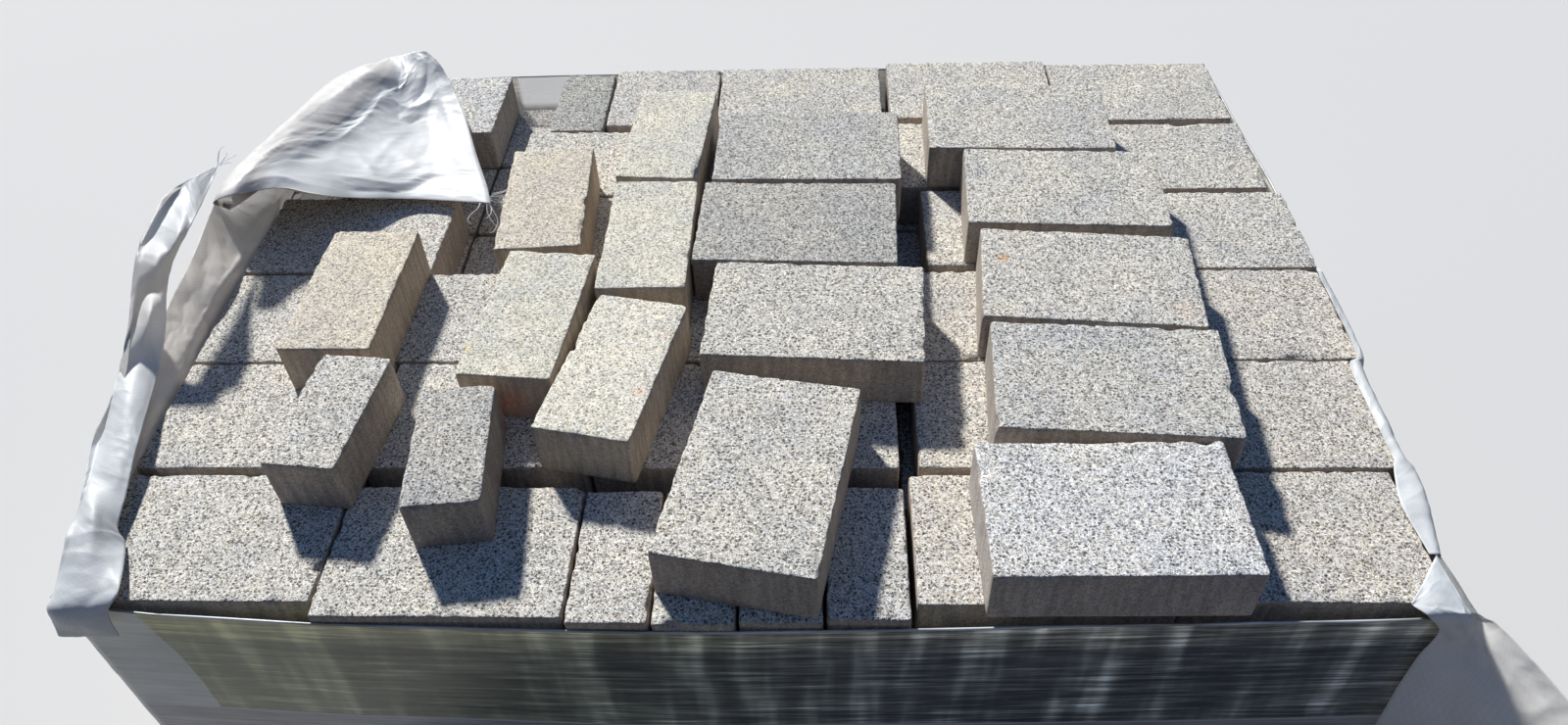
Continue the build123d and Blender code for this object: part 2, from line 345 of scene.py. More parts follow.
STRINGERS = ("front", "middle", "back")
stringer_lines = [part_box(f"pallet_stringer_{side}") for side in STRINGERS]
for node_name, nailed_face in (("pallet_top_boards", 1), ("pallet_bottom_boards", -1)):
    boards = solids_in_row(node_name)
    shells = [sawn_board(low, high, 11 * number) for number, (low, high) in enumerate(boards)]
    shades = [1.0 + 0.13 * math.sin(2.3 * number + nailed_face) for number in range(len(boards))]
    heads = []
    for low, high in boards:
        width = high[0] - low[0]
        level = (low if nailed_face < 0 else high)[2] - NAIL_SUNK * nailed_face
        for front, back in stringer_lines:
            for share in NAILS_ACROSS_WIDE if width > WIDE_BOARD else NAILS_ACROSS_NARROW:
                x, y = low[0] + share * width, (front.y + back.y) / 2
                heads.append(nail_head(x, y, level, nailed_face))
    tones = [tuple(shade * value for value in SOFTWOOD) for shade in shades] + [SOFTWOOD] * len(heads)
    mesh = join_shells(node_name, shells + heads, tones, [0] * len(shells) + [1] * len(heads))
    place_piece(node_name[7:] + "_nailed", mesh, board_wood, "pallet_wood", node_name)
    mesh.materials.append(nail_steel)

for side in STRINGERS:
    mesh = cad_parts[f"pallet_stringer_{side}"].data.copy()
    mesh.materials.clear()
    shape = bmesh.new()
    shape.from_mesh(mesh)
    bmesh.ops.remove_doubles(shape, verts=shape.verts, dist=0.00002)
    bmesh.ops.dissolve_limit(shape, angle_limit=0.02, verts=shape.verts, edges=shape.edges)
    shape.to_mesh(mesh)
    shape.free()
    keep_tone(mesh, np.tile(SOFTWOOD, (len(mesh.vertices), 1)))
    stringer = place_piece(
        f"{side}_stringer_notched", mesh, stringer_wood, "pallet_wood", f"pallet_stringer_{side}",
    )
    eased = stringer.modifiers.new("eased_arris", "BEVEL")
    eased.width = STRINGER_ARRIS
    eased.segments = 2
    eased.limit_method = "ANGLE"
    eased.angle_limit = 0.6

# Lower layers: seven courses of moulded concrete stones, stacked dry in two clamped
# blocks. A plate press made them, so the sides are smooth and only the upper edges
# crumble. Each course is laid stone by stone inside its CAD block.
LOWER_LAYERS = 7
ROW_COUNT = 6
JOINT = 0.003
LOWER_ROW_GAP = 0.006
MODULES_ACROSS = {10: (3, 3, 1, 1, 1, 1), 6: (3, 3)}
CORNER_ROUND = 0.004
STONE_ARRIS = 0.0016
LAYER_CLEARANCE = 0.0004
# Seen through the holes of the layer above, so finer than the rest: step over the top, wear.
SEEN_LAYER, HIDDEN_LAYER = (0.014, 1.0), (0.06, 0.5)
# Crumbs and chips: size, how rare, depth and how far they reach from the arris.
CRUMBLING = ((0.007, -0.1, 0.0021, 0.0035), (0.021, 0.5, 0.014, 0.006))


def moulded_stone(size, arris, step, depths):
    """A stone about its own middle: a grid over the top face whose outer lines bend down
    a quarter round, and rings of its border down the sides to a flat foot. Returns its
    points, quads, foot ring, and each point's way out and distance from the arris."""
    half = np.array(size) / 2
    near_edge = arris * np.array([0, 0.3, 0.7, 1.2, 2.2])
    xs, ys = places_across(half[0], near_edge, step), places_across(half[1], near_edge, step)
    square = np.stack(np.meshgrid(xs, ys, indexing="ij"), -1)
    core = np.clip(square, CORNER_ROUND - half[:2], half[:2] - CORNER_ROUND)
    out = square - core
    away = np.linalg.norm(out, axis=-1, keepdims=True)
    out_direction = out / np.maximum(away, 1e-9)
    plan = core + out_direction * np.abs(out).max(-1, keepdims=True)
    margins = half[:2] - np.abs(square)
    inset = margins.min(-1)
    nearest = np.sign(square) * (margins == margins.min(-1, keepdims=True))
    out_direction = np.where(away > 1e-9, out_direction, nearest)
    rise = np.maximum(arris - inset, 0)
    drop = arris - np.sqrt(arris**2 - rise**2)
    top = np.dstack([plan, half[2] - drop]).reshape(-1, 3)

    count = square.shape[0] * square.shape[1]
    index = np.arange(count).reshape(square.shape[:2])
    quads = [cell_corners(index).reshape(-1, 4)]
    border = np.concatenate([index[:-1, 0], index[-1, :-1], index[:0:-1, -1], index[0, :0:-1]])
    edge_plan, edge_out = plan.reshape(-1, 2)[border], out_direction.reshape(-1, 2)[border]
    points, outs, gaps = [top], [out_direction.reshape(-1, 2)], [inset.reshape(-1)]
    ring = border
    for depth in depths:
        foot_in = arris / 2 if depth == depths[-1] else 0.0
        level = np.full((len(border), 1), half[2] - depth)
        points.append(np.hstack([edge_plan - foot_in * edge_out, level]))
        outs.append(edge_out)
        gaps.append(np.full(len(border), depth))
        below = count + np.arange(len(border))
        quads.append(np.stack([ring, below, np.roll(below, -1), np.roll(ring, -1)], -1))
        ring, count = below, count + len(border)
    points, quads, outs, gaps = map(np.concatenate, (points, quads, outs, gaps))
    return points, quads, ring[::-1], outs, gaps


def worn(points, out, from_arris, seed, wear):
    """Crumbs and chips off the upper edge: where noise is high the arris goes back and
    down, less and less away from it. The skin keeps a fine grain of a third of a mm."""
    loss = np.zeros(len(points))
    for number, (cell, rare, depth, reach) in enumerate(CRUMBLING):
        gone = depth * np.maximum(smooth_noise(points, cell, seed + number) - rare, 0)
        loss += wear * gone * np.exp(-((from_arris / reach) ** 2))
    upward = np.ones((len(out), 1))
    way = np.hstack([out, upward]) / math.sqrt(2)
    grain = 0.00025 * smooth_noise(points, 0.0045, seed + 2)
    grain += 0.0004 * smooth_noise(points, 0.05, seed + 3)
    skin = (from_arris > 0)[:, None] * np.hstack([0.4 * out, upward])
    return points - way * loss[:, None] + skin * grain[:, None]


def lay_stone(size, middle, turn, seed, step, depths, wear=1.0):
    """One stone in its place: moulded about its middle, turned about Z, set down, worn."""
    points, quads, foot, out, from_arris = moulded_stone(size, STONE_ARRIS, step, depths)
    spin = np.array([[math.cos(turn), math.sin(turn)], [-math.sin(turn), math.cos(turn)]])
    points[:, :2] = points[:, :2] @ spin
    points = worn(points + np.array(middle), out @ spin, from_arris, seed, wear)
    return points, quads, [foot]


# Pressed concrete: grains of light and dark stone in a grey paste, with open pits on
# the top face whose insides are painted near black as painted shade. The mould wiped the
# sides smooth and a little browner, and the sides are painted darker than the tops, partly
# for that and partly as painted shade.
def pressed_concrete(name, contrast):
    """Grains, dust, patches and pits, each a noise or a pattern of cells on the object's own
    coordinates; contrast is how far the grains differ from the paste."""
    n = Nodes(name)
    place = n.place()
    shaken = n.blend(0.0018, place, n.noise(place, 420.0, 1.0, "Color"), "ADD")

    def cells(scale):
        """Distance to the middle of the nearest of scattered cells, and its own numbers."""
        found = n.add("TexVoronoi", {"Vector": shaken, "Scale": scale, "Randomness": 1.0}).outputs
        return found["Distance"], n.add("SeparateColor", {"Color": found["Color"]}).outputs

    grain, coarse = cells(1000.0)[1], cells(430.0)[1]
    speckle = n.times(
        n.ramp(
            grain[0], (0.0, 0.03), (0.14, 0.18), (0.28, 0.92),
            (0.66, 1.18), (0.86, 1.42), (1.0, 1.75),
        ),
        n.ramp(coarse[0], (0.0, 0.35), (0.2, 0.9), (0.6, 1.05), (1.0, 1.3)),
    )
    hues = n.ramp(
        grain[1], (0.0, (0.92, 1.0, 1.12)), (0.35, (1.0, 1.0, 1.0)),
        (0.7, (1.0, 1.0, 0.98)), (1.0, (1.12, 1.0, 0.84)),
    )
    dust = n.noise(place, 1500.0)
    dusting = n.ramp(dust, (0.3, 0.84), (0.7, 1.16))
    patches = n.noise(place, 14.0, 3.0)
    patching = n.ramp(patches, (0.3, (1.06, 1.06, 1.075)), (0.7, (1.27, 1.225, 1.145)))
    pit_distance, pit_pick = cells(250.0)
    pits = n.times(
        n.ramp(pit_distance, (0.24, 1.0), (0.40, 0.0)),
        n.ramp(pit_pick[1], (0.42, 0.0), (0.46, 1.0)),
    )
    # The pits are painted near black: painted shade in the holes.
    pit_painted_shade = n.blend(pits, (1, 1, 1), (0.08, 0.08, 0.09))
    tone, facing = n.kept("tone", "Color"), n.facing("Z")
    top = n.times(n.times(tone, speckle, contrast), hues)
    top = n.times(n.times(n.times(top, dusting, contrast), patching), pit_painted_shade, contrast)
    # The sides: drag marks of the mould, painted darker and browner than the tops, partly for the
    # mould's smoother face and partly as painted shade.
    drawn = n.noise(n.stretched(place, (160.0, 160.0, 22.0)), detail=4.0)
    drag_marks_and_painted_shade = n.ramp(drawn, (0.3, (0.48, 0.435, 0.41)), (0.7, (0.75, 0.70, 0.67)))
    side = n.times(n.times(tone, drag_marks_and_painted_shade), speckle, 0.45 * contrast)
    side = n.times(n.times(side, dusting, 0.6), patching)
    colour = n.blend(n.ramp(facing, (0.55, 0.0), (0.85, 1.0)), side, top)
    relief = n.blend(pits, n.blend(0.5, grain[0], dust), (0, 0, 0))
    depth = n.ramp(facing, (0.55, 0.25), (0.85, 1.0))
    normal = n.bump(relief, depth, 0.0006)
    return n.shade(Base_Color=colour, Roughness=0.92, Specular_IOR_Level=0.25, Normal=normal)


concrete = pressed_concrete("pressed_concrete", 0.84)
fine_concrete = pressed_concrete("fine_pale_concrete", 0.6)

GREY = (0.612, 0.598, 0.559)
COURSE_SHADES = (1.0, 0.93, 1.05, 0.97, 0.9, 1.03, 0.95)
for layer in range(1, LOWER_LAYERS + 1):
    layer_name = f"stone_layer_{layer}"
    step, wear = SEEN_LAYER if layer == LOWER_LAYERS else HIDDEN_LAYER
    shells, tones = [], []
    for low, high in solids_in_row(layer_name):
        modules = 10 if len(shells) == 0 else 6
        module = (high[0] - low[0] + JOINT) / modules
        row_pitch = (high[1] - low[1] + LOWER_ROW_GAP) / ROW_COUNT
        row_depth = row_pitch - LOWER_ROW_GAP
        height = high[2] - low[2] - LAYER_CLEARANCE
        for row in range(ROW_COUNT):
            left = low[0]
            for number, across in enumerate(MODULES_ACROSS[modules]):
                width = across * module - JOINT
                front = low[1] + row * row_pitch
                middle = (left + width / 2, front + row_depth / 2, low[2] + height / 2)
                left += across * module
                depths = np.array([0.004, 0.012, height - 0.0008, height])
                seed = 1000 * layer + len(shells)
                size = (width, row_depth, height)
                shells.append(lay_stone(size, middle, 0.0, seed, step, depths, wear))
                shade = COURSE_SHADES[(layer + 3 * row + number) % len(COURSE_SHADES)]
                tones.append(tuple(shade * value for value in GREY))
    mesh = join_shells(layer_name + "_stones", shells, tones)
    place_piece(layer_name + "_stones", mesh, concrete, "grey_stone", layer_name)

# Top full layer: the same stones, drawn out by hand into uneven rows. Two small ones and
# two more are gone, so the layer below shows. Their tops are rough with open grain.
COOL_GREY = (0.636, 0.636, 0.631)
WARM_GREY = (0.605, 0.580, 0.535)
DARK_GREY = (0.435, 0.440, 0.418)
DEEP_GREY = (0.484, 0.477, 0.453)
FINE_STEP = 0.004
STONE_DEPTHS = np.array([0.0032, 0.0055, 0.009, 0.016, 0.028, 0.042, 0.0545, 0.0588, 0.06])
row_tones = {f"top_right_row_{row}": (WARM_GREY,) * 2 for row in (1, 2, 3)}
row_tones["top_left_row_6"] = (COOL_GREY, DARK_GREY, GREY, GREY)
rows = range(1, ROW_COUNT + 1)
row_names = [f"top_{side}_row_{row}" for side in ("left", "right") for row in rows]
for number, row_name in enumerate(row_names):
    solids = solids_in_row(row_name)
    shells = [
        lay_stone(high - low, (low + high) / 2, 0.0, 50 * number + place, FINE_STEP, STONE_DEPTHS)
        for place, (low, high) in enumerate(solids)
    ]
    mesh = join_shells(row_name, shells, row_tones.get(row_name, (GREY,) * len(solids)))
    place_piece(row_name + "_stones", mesh, concrete, "grey_stone", row_name)


# Loose stones: a part layer thrown on top, each lying a little askew. The oblong ones are
# another make, paler and finer, two of them tan.
def turned_block(name):
    """Size, middle and turn of a node that is one block turned about Z: the turn that
    gives its outline the smallest box."""
    points = node_triangles(name).reshape(-1, 3)
    turns = np.radians(np.linspace(-20, 20, 2001))
    across = np.outer(np.cos(turns), points[:, 0]) + np.outer(np.sin(turns), points[:, 1])
    along = np.outer(np.cos(turns), points[:, 1]) - np.outer(np.sin(turns), points[:, 0])
    best = np.argmin(np.ptp(across, 1) * np.ptp(along, 1))
    turned = np.stack([across[best], along[best], points[:, 2]])
    x, y, z = (turned.min(1) + turned.max(1)) / 2
    cos, sin = math.cos(turns[best]), math.sin(turns[best])
    return np.ptp(turned, axis=1), (x * cos - y * sin, x * sin + y * cos, z), turns[best]


PALE = (0.701, 0.685, 0.603)
TAN = (0.695, 0.643, 0.548)
loose_tones = {
    "large_stone_1": (0.640, 0.645, 0.645),
    "large_stone_2": (0.552, 0.550, 0.532),
    "large_stone_6": (0.616, 0.602, 0.558),
    "large_stone_7": DEEP_GREY,
    "large_stone_8": (0.520, 0.518, 0.500),
    "oblong_stone_3": TAN,
    "oblong_stone_5": (0.765, 0.740, 0.648),
    "oblong_stone_6": TAN,
    "small_stone_2": (0.492, 0.487, 0.470),
}
# Rust, clay and a knock: place (mm, from the floor), reach and tint.
MARKS = (
    ((266, -49, 661), 5, (1.25, 0.72, 0.38)),
    ((443, -136, 661), 14, (1.07, 0.97, 0.9)),
    ((275, -202, 661), 3.2, (0.12, 0.12, 0.13)),
    ((271, -197, 661), 2.5, (0.15, 0.15, 0.16)),
    ((-113, -254, 661), 5, (1.15, 0.88, 0.74)),
    ((-95, -172, 661), 6, (1.08, 0.93, 0.86)),
    ((-299, -190, 661), 5, (1.2, 1.05, 0.62)),
    ((-159, -257, 661), 2.2, (0.2, 0.2, 0.2)),
    ((-251, -233, 623), 20, (1.55, 0.92, 0.8)),
    ((392, -281, 661), 4, (1.1, 0.97, 0.9)),
)


def marked(points, tone):
    """A stone's colour at each point, with soft round marks multiplied in."""
    colours = np.tile(tone, (len(points), 1))
    for place, reach, tint in MARKS:
        away = np.linalg.norm(1000 * points - place, axis=1) / reach
        colours *= 1 + np.exp(-(away**2))[:, None] * (np.array(tint) - 1)
    return colours


loose_names = [name[6:] for name in sorted(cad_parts) if name.startswith("loose_")]
MAKES = {False: (concrete, "grey_stone", GREY), True: (fine_concrete, "pale_stone", PALE)}
for number, loose_name in enumerate(loose_names):
    size, middle, turn = turned_block("loose_" + loose_name)
    shell = lay_stone(size, middle, turn, 900 + 7 * number, FINE_STEP, STONE_DEPTHS)
    finish, slot, usual_tone = MAKES[loose_name.startswith("oblong")]
    tone = loose_tones.get(loose_name, usual_tone)
    mesh = join_shells("loose_" + loose_name, [shell], [marked(shell[0], tone)])
    place_piece(loose_name + "_laid", mesh, finish, slot, "loose_" + loose_name)

# Stretch film: many turns of thin clear film drawn tight round the load, which leaves
# fine streaks along its run. It is dark over the stones, with its back and sides painted
# lighter as painted sunlight and its left end painted lighter and more olive as painted
# light; it is milky where many turns or the white cover lie under it, painted pale over
# the gap at the back as painted light coming through, and its top edge has rolled up thinly.
FILM_IN = 0.0006
FILM_SPACING = 0.006
FILM_LEVELS = 44
FILM_CREASE = 0.0008
CORNER_LIFT, CORNER_REACH = 0.014, 0.1
RIM_RADIUS = 0.0013
RIM_OUT = 0.0004
# Where the white cover ends under the film: X at some heights in front, and at the back.
COVER_END = ([0.40, 0.475, 0.526, 0.587], [-0.540, -0.539, -0.543, -0.557])
COVER_END_BEHIND = -0.585
# Edges of single turns: height and half the width of their pale line.
TURN_EDGES = ((0.4335, 0.0011), (0.352, 0.0008), (0.268, 0.0008), (0.189, 0.0008))
TOP_TURNS_FROM, RIM_FROM = 0.435, 0.572


def outline_round(points, spacing):
    """Points a spacing apart along the convex outline of points in plan, anticlockwise,
    with the outward direction and the distance along at each."""
    plan = np.unique(np.round(points[:, :2], 6), axis=0)
    chain = []
    for run in (plan, plan[::-1]):
        start = len(chain)
        for point in run:
            while len(chain) > start + 1:
                edge, step = chain[-1] - chain[-2], point - chain[-1]
                if edge[0] * step[1] - edge[1] * step[0] > 1e-12:
                    break
                chain.pop()
            chain.append(point)
        chain.pop()
    ring = np.array(chain + chain[:1])
    lengths = lengths_along(ring)
    places = np.linspace(0, lengths[-1], round(lengths[-1] / spacing), endpoint=False)
    line = points_at(places, lengths, ring)
    run = np.roll(line, -1, axis=0) - np.roll(line, 1, axis=0)
    out = np.stack([run[:, 1], -run[:, 0]], -1)
    return line, out / np.linalg.norm(out, axis=1, keepdims=True), places


def grid_mesh(name, surface, closed=False, uv=None):
    """A smooth mesh of quads over a grid of points (along, across), with metres along and
    across as its UV map; closed joins the last row to the first."""
    rows, columns = surface.shape[:2]
    index = np.arange(rows * columns).reshape(rows, columns)
    if closed:
        index = np.vstack([index, index[:1]])
    quads = cell_corners(index).reshape(-1, 4)
    mesh = bpy.data.meshes.new(name)
    mesh.from_pydata(surface.reshape(-1, 3).tolist(), [], quads.tolist())
    mesh.polygons.foreach_set("use_smooth", np.ones(len(quads), bool))
    if uv is not None:
        layer = mesh.uv_layers.new(name="along_and_across")
        if closed:
            uv = np.concatenate([uv, uv[:1] + [uv[-1, 0, 0] + uv[1, 0, 0] - 2 * uv[0, 0, 0], 0]])
        layer.data.foreach_set("uv", cell_corners(uv).astype(np.float32).ravel())
    return mesh


def mark_points(mesh, name, values):
    """Keeps one number for each point of a mesh, for its finish to read."""
    marked = mesh.attributes.new(name, "FLOAT", "POINT")
    marked.data.foreach_set("value", np.asarray(values, np.float32).ravel())


film_points = node_triangles("film_wrap").reshape(-1, 3)
film_foot, film_top = film_points[:, 2].min(), film_points[:, 2].max()
film_line, film_out, film_places = outline_round(film_points, FILM_SPACING)
front_left = film_line[np.argmin(film_line.sum(1))]
line_points = np.column_stack([film_line, np.zeros(len(film_line))])
wander = 0.0016 * smooth_noise(line_points, 0.16, 71)
wander += 0.0008 * smooth_noise(line_points, 0.05, 72)
lifted = np.clip(1 - np.linalg.norm(film_line - front_left, axis=1) / CORNER_REACH, 0, 1)
rim = film_top + wander + CORNER_LIFT * lifted**1.5
levels = film_foot + (rim[:, None] - film_foot) * np.linspace(0, 1, FILM_LEVELS)
film_uv = np.stack(np.broadcast_arrays(film_places[:, None], levels), -1)
flat = np.column_stack([film_uv.reshape(-1, 2), np.zeros(levels.size)])
creases = 0.5 * smooth_noise(flat * [0.3, 3.0, 1.0], 0.05, 73)
creases += 0.25 * smooth_noise(flat * [0.6, 8.0, 1.0], 0.03, 74)
creases = FILM_CREASE * creases.reshape(levels.shape) - FILM_IN
film_plan = film_line[:, None] + film_out[:, None] * creases[..., None]
film_surface = np.dstack([film_plan, levels])
film_mesh = grid_mesh("film", film_surface, closed=True, uv=film_uv)

cover_end = np.where(film_line[:, 1:] < 0, np.interp(levels, *COVER_END), COVER_END_BEHIND)
gap_row = "top_left_row_6"
(_, gap_from), (gap_to, _) = solids_in_row(gap_row)[:2]
film_x, film_y = film_line.T
over_gap = (film_x > gap_from[0]) & (film_x < gap_to[0]) & (film_y > 0)
# Marks for the finish: where the white cover lies under the film, where the film spans the gap at the
# back, and where light is painted: sunlit on the back and sides, and lighter and olive towards the
# left.
for mark, values in {
    "over_cover": cover_end - film_line[:, :1],
    "over_gap": over_gap[:, None] & (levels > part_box(gap_row)[0].z),
    "sunlit": np.clip(0.5 + 2 * film_out[:, 1:], 0, 1),
    "olive_and_painted_light": np.clip((0.15 - film_line[:, :1]) / 0.75, 0, 1),
}.items():
    mark_points(film_mesh, mark, np.broadcast_to(values, levels.shape))

n = Nodes("stretch_film")
run = n.place("UV")


def streaked(across, along, detail=2.0):
    """Noise that changes fast across the film's run and slowly along it."""
    return n.noise(n.stretched(run, (along, across, 1.0)), detail=detail)


def above(value, limit, blend):
    """One where a value is above its limit, nought below, with a narrow blend between."""
    return n.scaled(value, low=limit - blend, high=limit + blend)


fine, middling, broad = streaked(480.0, 15.0, 3.0), streaked(170.0, 9.0), streaked(45.0, 5.0)
streaks = n.times(
    n.ramp(fine, (0.34, 0.5), (0.5, 0.9), (0.62, 1.45), (0.75, 2.5)),
    n.times(
        n.ramp(middling, (0.35, 0.55), (0.5, 0.95), (0.62, 1.5), (0.72, 2.3)),
        n.ramp(broad, (0.35, 0.7), (0.65, 1.4)),
    ),
)
smearing = n.ramp(streaked(5.0, 30.0), (0.4, 0.6), (0.52, 0.95), (0.62, 1.9), (0.74, 3.2))
olive_and_painted_light, sunlit, over_gap = n.kept("olive_and_painted_light"), n.kept("sunlit"), n.kept("over_gap")
# Painted light: the film over the stones is painted lighter where it faces the sun, and lighter and
# more olive towards the left, with its streaks fainter there.
dark = n.blend(olive_and_painted_light, (0.28, 0.295, 0.28), (0.37, 0.385, 0.21))
dark = n.blend(sunlit, dark, (0.45, 0.465, 0.45))
clearer = n.scaled(n.maths("MAXIMUM", olive_and_painted_light, sunlit), 1.0, 0.4)
dark = n.times(n.times(dark, streaks, clearer), smearing, clearer)
milk = n.times(
    n.ramp(fine, (0.3, (0.40, 0.42, 0.42)), (0.7, (0.66, 0.69, 0.70))),
    n.times(
        n.ramp(middling, (0.35, 0.8), (0.65, 1.12)),
        n.ramp(streaked(9.0, 6.0, 4.0), (0.35, 0.78), (0.65, 1.1)),
    ),
)
under = n.times(
    n.ramp(middling, (0.3, (0.70, 0.745, 0.695)), (0.7, (0.92, 0.96, 0.905))),
    n.ramp(streaked(14.0, 9.0, 4.0), (0.35, 0.8), (0.65, 1.1)),
)
height = n.add("SeparateXYZ", {"Vector": run}).outputs["Y"]
wavy = n.maths("MULTIPLY_ADD", streaked(0.4, 1.6), 0.022, height)
near_rim = above(wavy, RIM_FROM, 0.014)
dark = n.times(dark, n.ramp(near_rim, (0.0, 1.0), (1.0, (2.3, 2.15, 1.9))))
scuffs = n.ramp(streaked(700.0, 45.0), (0.66, 0.0), (0.75, 0.6))
dark = n.blend(scuffs, dark, (0.50, 0.52, 0.50))
colour = n.blend(above(n.kept("over_cover"), 0.0, 0.0012), dark, under)
# Painted light: over the gap at the back the film is painted milky and pale, as light coming through
# it from behind.
colour = n.blend(over_gap, colour, milk)
colour = n.blend(above(wavy, TOP_TURNS_FROM, 0.0006), milk, colour)
for edge, width in TURN_EDGES:
    low, high = (above(wavy, edge + side * width, 0.0004) for side in (-1, 1))
    colour = n.blend(n.maths("SUBTRACT", low, high), colour, (0.72, 0.75, 0.76))
film = n.shade(
    Base_Color=colour, Roughness=0.24, Specular_IOR_Level=0.32,
    Alpha=n.scaled(over_gap, 0.86, 0.4), Normal=n.bump(n.blend(0.5, fine, middling), 0.4, 0.001),
)
wrap = place_piece("stretch_film", film_mesh, film, "stretch_film", "film_wrap")

around = np.linspace(0, 2 * math.pi, 9)
roll_out = (RIM_RADIUS * np.cos(around)[:, None] - RIM_OUT) * film_out[:, None]
roll_up = rim[:, None] + RIM_RADIUS * np.sin(around)
roll_surface = np.dstack([film_line[:, None] + roll_out, roll_up])
n = Nodes("rolled_film")
rolled = n.ramp(n.noise(n.place(), 9.0, 3.0), (0.4, (0.22, 0.23, 0.23)), (0.62, (0.70, 0.73, 0.74)))
film_roll = n.shade(Base_Color=rolled, Roughness=0.25)
roll_mesh = grid_mesh("film_roll", roll_surface, closed=True)
place_piece("film_rolled_edge", roll_mesh, film_roll, "stretch_film")

# Cover sheet: white woven plastic that hooded the load until it was torn open. A flap is
# still turned in over the back left corner, one torn strip lines the left edge and another
# stands up outside it, and a skirt hangs out round the front right corner.
FULL_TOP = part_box("top_left_row_1")[1].z
SHEET_THICK = 0.0004
TAPES_PER_METRE = 400.0
THREAD_WIDTHS = (0.0008, 0.0004)


def smooth_run(points, count):
    """Count places along the smooth line through the points of the first axis: cubic
    pieces whose slope at each point is that between its two neighbours."""
    points = np.asarray(points, float)
    ends = np.concatenate([2 * points[:1] - points[1:2], points, 2 * points[-1:] - points[-2:-1]])
    place = np.linspace(0, len(points) - 1, count)
    start = np.minimum(place.astype(int), len(points) - 2)
    share = (place - start).reshape(-1, *[1] * (points.ndim - 1))
    before, here, there, after = (ends[start + number] for number in range(4))
    bend = 2 * before - 5 * here + 4 * there - after
    twist = 3 * (here - there) + after - before
    return here + 0.5 * share * (there - before + share * (bend + share * twist))


def crushed(flat, folds, seed):
    """Heights of a sheet that was crushed and pulled open again. For each size of fold, the
    squared distance to the nearest of scattered points: soft hollows that meet in sharp,
    straight ridges. Each size shows only where its own smooth noise is high."""
    height = np.zeros(len(flat))
    for number, (high, wide) in enumerate(folds):
        bent = [smooth_noise(flat + 7 * axis, 0.0016 * wide, seed + number) for axis in (1, 2)]
        place = 1000 * flat[:, :2] / wide + 0.35 * np.stack(bent, -1)
        home = np.floor(place).astype(np.int64)
        nearest = np.full(len(flat), 9.0)
        for step in np.ndindex(3, 3):
            cell = np.insert(home + np.array(step) - 1, 2, number, axis=1)
            spot = cell[:, :2] + np.stack([random_in(cell, seed), random_in(cell, seed + 1)], -1)
            nearest = np.minimum(nearest, ((place - spot) ** 2).sum(1))
        here = np.clip(0.35 + 1.6 * smooth_noise(flat, 0.0024 * wide, seed + 10 + number), 0, 1)
        height += 0.001 * high * here * (np.minimum(nearest, 1) - 0.3)
    return height


def crumpled_sheet(net, fine, folds, seed, creases=()):
    """A sheet drawn smoothly through a net of points (mm, height from the full layer),
    then moved along its normals. Folds are (height in mm, width in mm) of each size, and
    creases (height, width, corners) of each listed crease: a sharp crest that falls
    off exponentially on both sides of its line and runs out at the ends."""
    net = np.array(net) / 1000 + [0, 0, FULL_TOP]
    lengths = [np.linalg.norm(np.diff(net, axis=axis), axis=-1).sum(axis).max() for axis in (0, 1)]
    counts = [max(4, round(length / fine)) for length in lengths]
    surface = smooth_run(smooth_run(net, counts[0]).swapaxes(0, 1), counts[1]).swapaxes(0, 1)
    along, across = np.gradient(surface, axis=0), np.gradient(surface, axis=1)
    normal = np.cross(along, across)
    normal /= np.maximum(np.linalg.norm(normal, axis=-1, keepdims=True), 1e-9)
    steps_along = np.linalg.norm(along, axis=-1).mean(1).cumsum()
    steps_across = np.linalg.norm(across, axis=-1).mean(0).cumsum()
    uv = np.stack(np.meshgrid(steps_along, steps_across, indexing="ij"), -1)
    flat = np.column_stack([uv.reshape(-1, 2), np.zeros(uv[..., 0].size)])
    height = crushed(flat, folds, seed).reshape(uv.shape[:2])
    for high, wide, corners in creases:
        line = smooth_run(np.array(corners) / 1000 + [0, 0, FULL_TOP], 8 * len(corners))
        away = np.linalg.norm(surface[:, :, None] - line, axis=-1)
        nearest = away.argmin(-1) / (len(line) - 1)
        running_out = np.sqrt(np.sin(np.pi * np.clip(nearest, 0.02, 0.98)))
        height += 0.001 * high * np.exp(-1000 * away.min(-1) / wide) * running_out
    return surface + normal * height[..., None], uv


def place_sheet(name, surface, uv, yellowing_and_painted_light, thin, stands_for=()):
    """Gives a sheet its thickness and both faces' finishes, and marks where it is painted
    yellowish and darker, partly yellowed plastic and partly painted light, and where it is drawn
    thin."""
    mesh = grid_mesh(name, surface, uv=uv)
    piece = place_piece(name, mesh, cover, "cover_sheet", *stands_for)
    mesh.materials.append(cover_inside)
    mark_points(mesh, "yellowing_and_painted_light", np.broadcast_to(yellowing_and_painted_light, surface.shape[:2]))
    mark_points(mesh, "thin", np.broadcast_to(thin, surface.shape[:2]))
    skin = piece.modifiers.new("thickness", "SOLIDIFY")
    skin.thickness = SHEET_THICK
    skin.offset = 0.0
    skin.material_offset = 1
    skin.material_offset_rim = 1


